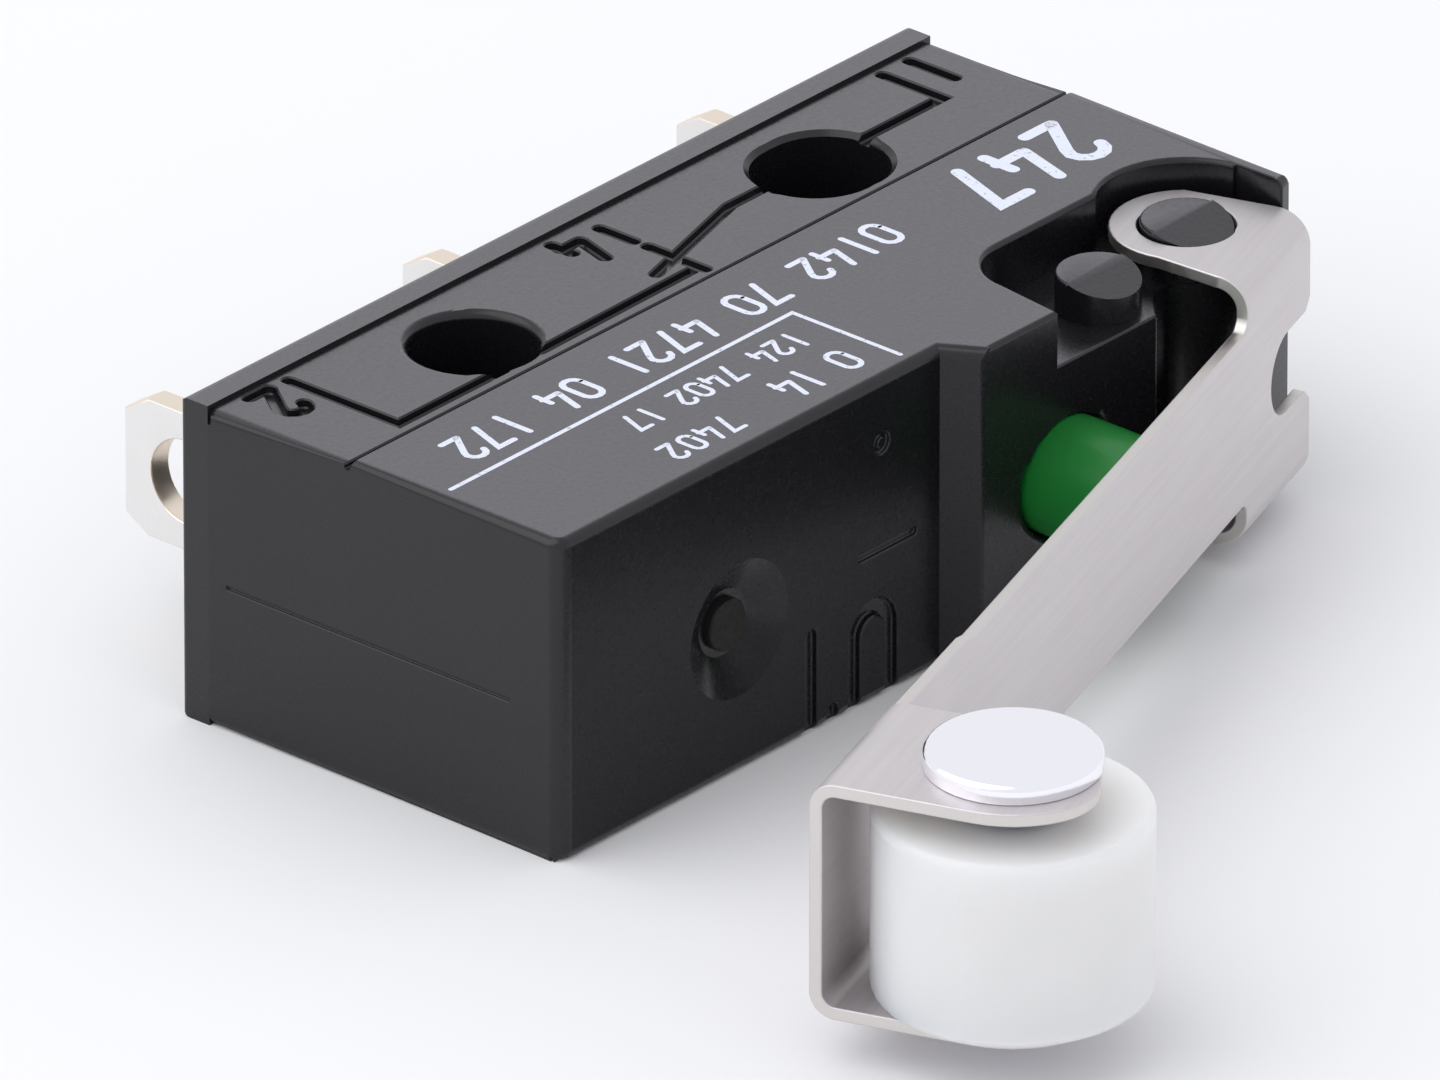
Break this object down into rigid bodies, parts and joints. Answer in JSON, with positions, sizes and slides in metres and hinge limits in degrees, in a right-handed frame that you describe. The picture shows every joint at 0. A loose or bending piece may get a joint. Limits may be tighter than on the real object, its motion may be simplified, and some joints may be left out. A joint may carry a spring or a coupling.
{
  "type": "micro switch",
  "caption": "Subminiature snap-action switch: flat black case with a green plunger, solder tags and a slanted steel lever that carries a white roller in its fork.",
  "frame": {"origin": "on the axis of the round mounting hole, in the lower broad face of the housing", "axes": "+X along the body from the round hole to the slotted hole and the lever pivot, +Y to the solder tags, +Z along the mounting holes to the marked broad face; the plunger and the lever face -Y"},
  "size_m": [0.0226, 0.0254, 0.0064],
  "materials": {
    "housing_plastic": "black moulded thermoset, satin",
    "base_plastic": "black moulded thermoset, satin",
    "terminal_metal": "plated strip with bare cut edges",
    "contact_metal": "bright contact plating",
    "arm_metal": "rolled spring alloy strip",
    "rocker_plastic": "natural moulded plastic",
    "spring_steel": "drawn spring wire",
    "plunger_plastic": "green moulded plastic",
    "lever_steel": "rolled stainless strip, satin",
    "roller_plastic": "milky white moulded plastic",
    "axle_steel": "bright headed pin"
  },
  "bodies": {
    "case": {"housing": "housing_plastic", "terminal_base": "base_plastic", "common_terminal": "terminal_metal", "normally_closed_terminal": "terminal_metal", "normally_open_terminal": "terminal_metal", "normally_closed_contact": "contact_metal", "normally_open_contact": "contact_metal"},
    "roller_lever": {"lever": "lever_steel", "roller_axle": "axle_steel"},
    "roller_body": {"roller": "roller_plastic"},
    "plunger_body": {"plunger": "plunger_plastic"},
    "rocker_body": {"rocker": "rocker_plastic"},
    "moving_contact": {"contact_arm": "arm_metal", "moving_contact_front": "contact_metal", "moving_contact_back": "contact_metal"},
    "spring_body": {"snap_spring": "spring_steel"}
  },
  "joints": [
    {"name": "lever_pivot", "type": "hinge", "parent": "case", "child": "roller_lever", "pos_m": [0.0126, -0.00605, 0.0032], "axis": [0, 0, -1], "range_deg": [0, 11], "stiffness_Nm_per_rad": 0.01, "springref_deg": -11.46},
    {"name": "roller_spin", "type": "hinge", "parent": "roller_lever", "child": "roller_body", "pos_m": [-0.00506, -0.01703, 0.0032], "axis": [0, 0, 1], "continuous": true},
    {"name": "plunger_slide", "type": "slide", "parent": "case", "child": "plunger_body", "axis": [0, 1, 0], "range_m": [0, 0.00094]},
    {"name": "rocker_pivot", "type": "hinge", "parent": "case", "child": "rocker_body", "pos_m": [0.0129, -0.0052, 0.0032], "axis": [0, 0, -1], "range_deg": [0, 10.6]},
    {"name": "contact_arm_pivot", "type": "hinge", "parent": "case", "child": "moving_contact", "pos_m": [0.01215, -0.0043, 0.0032], "axis": [0, 0, -1], "range_deg": [0, 2]},
    {"name": "spring_swing", "type": "hinge", "parent": "moving_contact", "child": "spring_body", "pos_m": [0.0024, -0.00363, 0.0032], "axis": [0, 0, 1], "range_deg": [0, 10.4]}
  ],
  "couplings": [
    {"joint": "plunger_slide", "follows": "lever_pivot", "m_per_rad": 0.0048581},
    {"joint": "rocker_pivot", "follows": "lever_pivot", "ratio": 0.95577},
    {"joint": "contact_arm_pivot", "follows": "lever_pivot", "ratio": 0.17654},
    {"joint": "spring_swing", "follows": "lever_pivot", "ratio": 0.93415}
  ]
}
